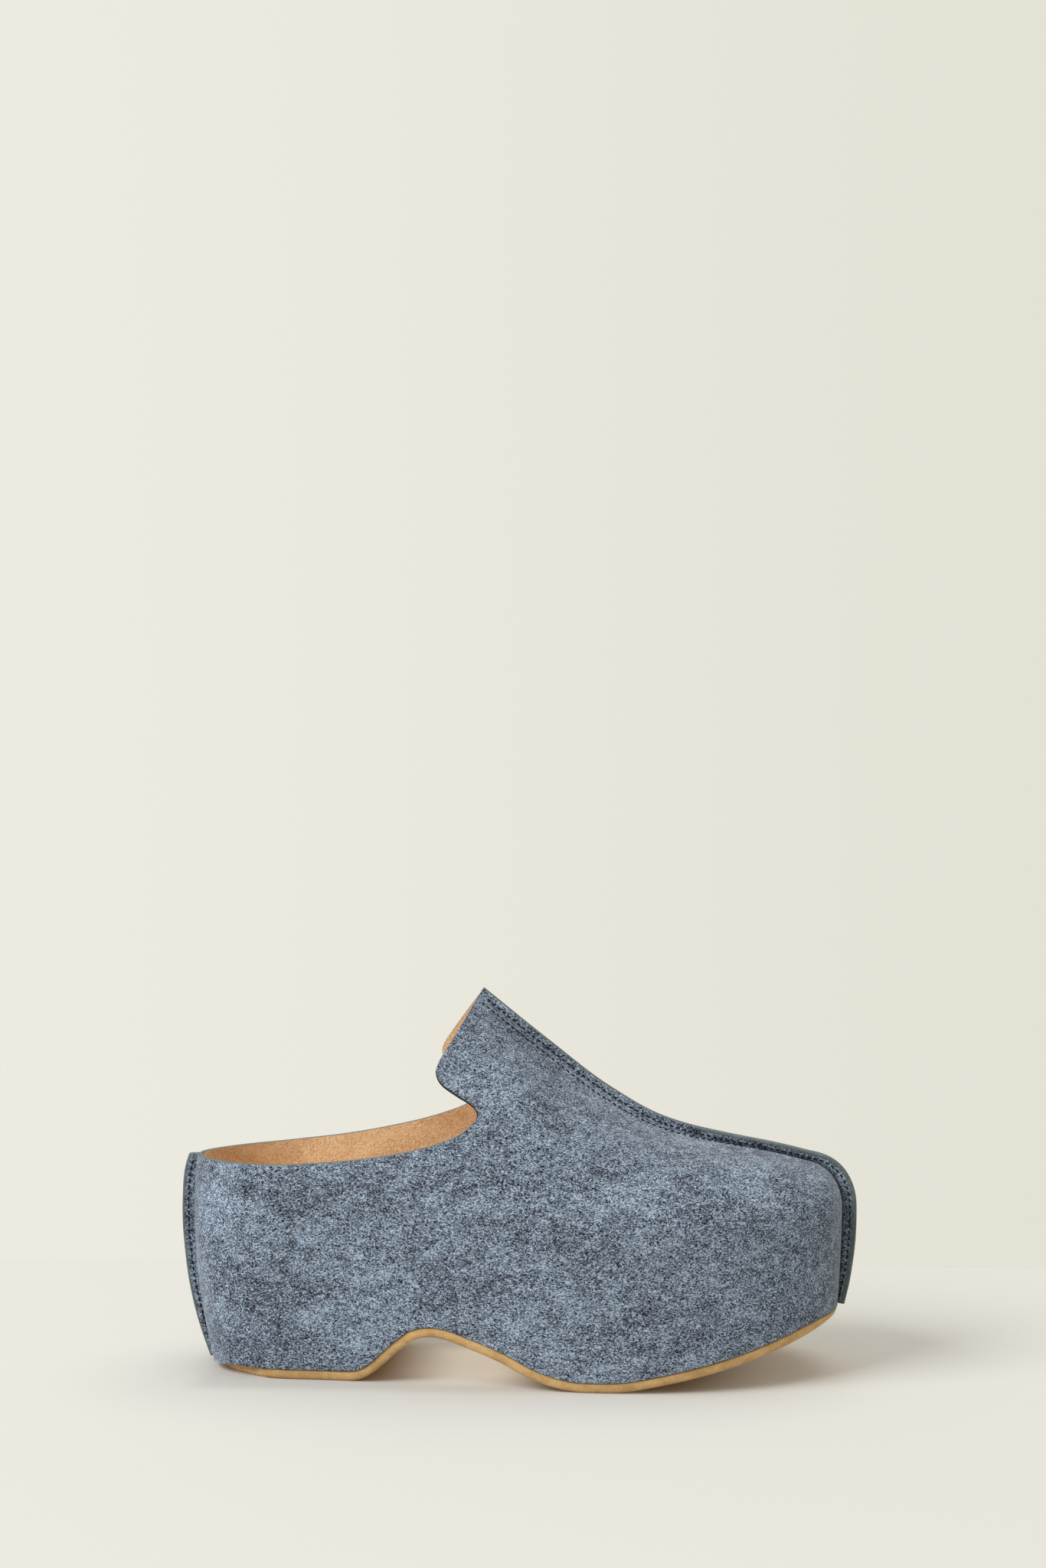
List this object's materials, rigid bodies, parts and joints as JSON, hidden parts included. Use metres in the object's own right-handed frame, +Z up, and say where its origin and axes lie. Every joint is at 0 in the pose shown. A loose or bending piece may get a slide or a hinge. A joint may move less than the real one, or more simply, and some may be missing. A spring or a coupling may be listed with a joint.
{
  "type": "platform clog",
  "caption": "Backed mule clog with a felt upper wrapped down over a platform with open arch and toe spring, raised seams at toe and heel, and a thin rubber outsole.",
  "frame": {"origin": "middle of the bounding box on the floor under the sole", "axes": "+X to the toe, +Y to the inner side of the right foot, +Z up"},
  "size_m": [0.2774, 0.096, 0.1546],
  "materials": {
    "felt": "matte heathered blue-grey felt",
    "platform": "plain light block, covered by the felt",
    "insole": "matte tan suede-like leather",
    "outsole": "matte tan crepe-like rubber"
  },
  "bodies": {
    "root": {"upper": "felt", "platform": "platform", "insole": "insole", "outsole": "outsole"}
  },
  "joints": []
}
